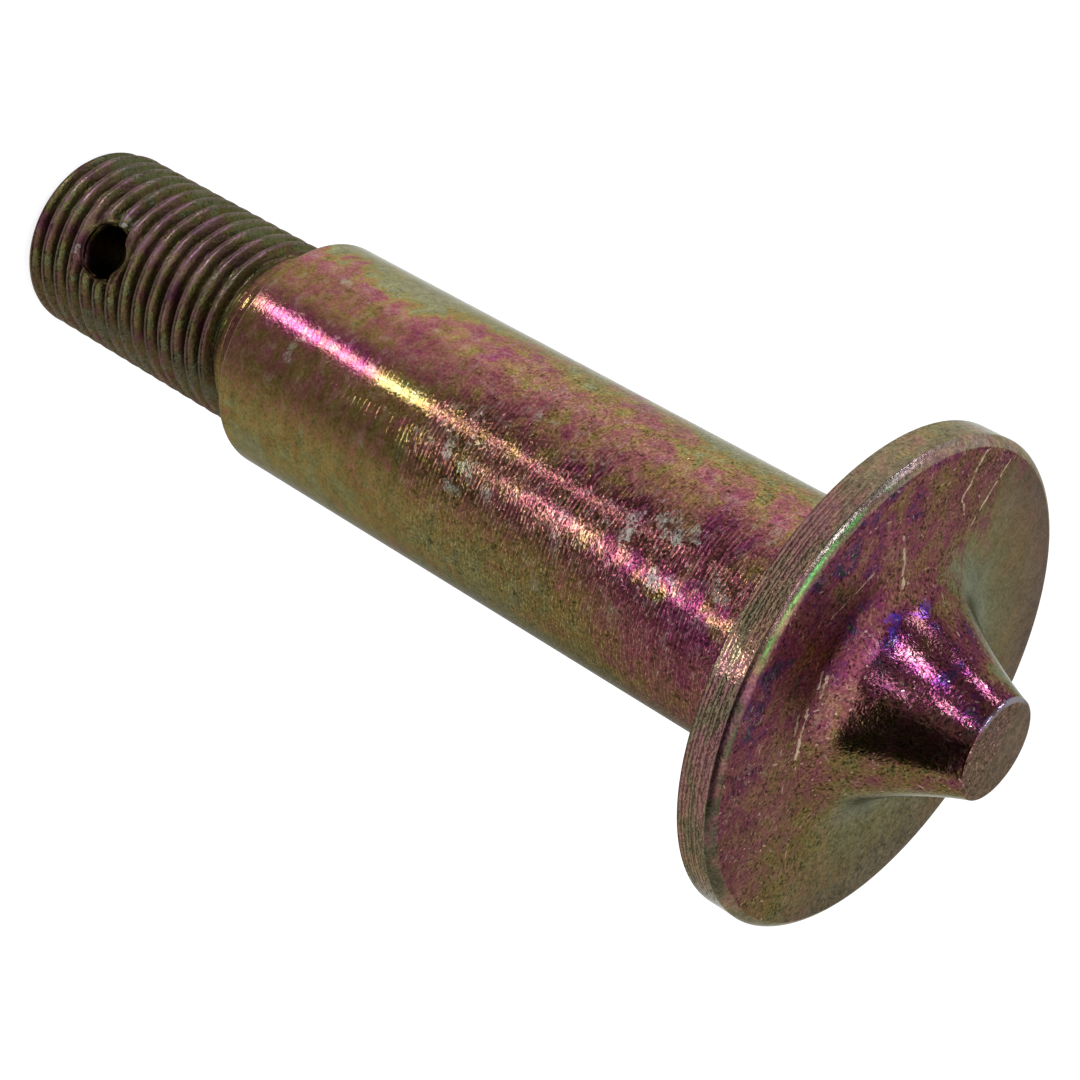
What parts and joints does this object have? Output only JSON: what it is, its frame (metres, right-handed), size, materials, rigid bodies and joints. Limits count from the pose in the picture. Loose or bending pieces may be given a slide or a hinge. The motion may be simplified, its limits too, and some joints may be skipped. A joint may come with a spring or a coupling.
{
  "type": "sway bar link pin",
  "caption": "Turned steel pin for a sway bar link: cross-drilled threaded end, smooth shank, thin disc head and a nub flaring out of the head, plated yellow.",
  "frame": {"origin": "centre of the threaded end's flat face, which the pin stands on", "axes": "+Z along the pin from the threaded end to the nub; the cotter hole runs along Y"},
  "size_m": [0.028, 0.028, 0.0708],
  "materials": {
    "yellow_zinc": "turned steel with yellow zinc plating"
  },
  "bodies": {
    "root": {"link_pin": "yellow_zinc"}
  },
  "joints": []
}
